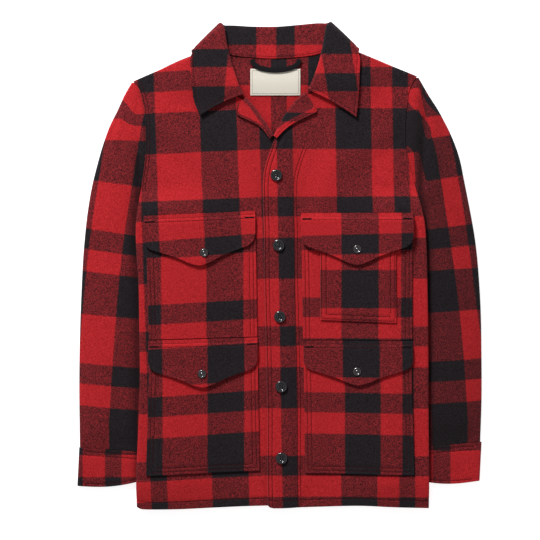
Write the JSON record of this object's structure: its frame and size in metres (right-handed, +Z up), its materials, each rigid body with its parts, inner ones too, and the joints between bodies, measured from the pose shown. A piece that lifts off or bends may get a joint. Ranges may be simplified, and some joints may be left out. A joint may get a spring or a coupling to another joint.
{
  "type": "mackinaw jacket",
  "caption": "Checked wool mackinaw jacket laid flat on its back: notched collar open at the neck, buttoned front, pointed flap pockets, cuffed sleeves at its sides.",
  "frame": {"origin": "centre of the garment's box in plan, on the surface that it lies on", "axes": "+Z up from the surface through the laid-out jacket, +Y from the hem to the collar, +X to the right as seen from above"},
  "size_m": [0.6482, 0.7814, 0.0279],
  "materials": {
    "red_wool": "matt, brushed heavy wool, checked red and black",
    "dark_red_wool": "matt, brushed heavy wool, checked red and black",
    "black_wool": "matt, brushed heavy wool, checked red and black",
    "label_cloth": "matt, plain woven",
    "loop_tape": "matt, folded tape",
    "button": "glossy, black",
    "snap": "glossy, black"
  },
  "bodies": {
    "root": {"back": "red_wool", "button_1": "button", "button_2": "button", "button_3": "button", "button_4": "button", "button_5": "button", "collar": "dark_red_wool", "cuff_left": "red_wool", "cuff_right": "red_wool", "flap_lower_left": "dark_red_wool", "flap_lower_right": "dark_red_wool", "flap_upper_left": "dark_red_wool", "flap_upper_right": "dark_red_wool", "front_left": "red_wool", "front_right": "red_wool", "hanging_loop": "loop_tape", "lapel_left": "red_wool", "lapel_right": "red_wool", "neck_label": "label_cloth", "pocket_lower_left": "red_wool", "pocket_lower_right": "red_wool", "pocket_small": "black_wool", "pocket_upper_left": "red_wool", "pocket_upper_right": "red_wool", "sleeve_left": "dark_red_wool", "sleeve_right": "dark_red_wool", "snap_lower_left": "snap", "snap_lower_right": "snap", "snap_upper_left": "snap", "snap_upper_right": "snap"}
  },
  "joints": []
}
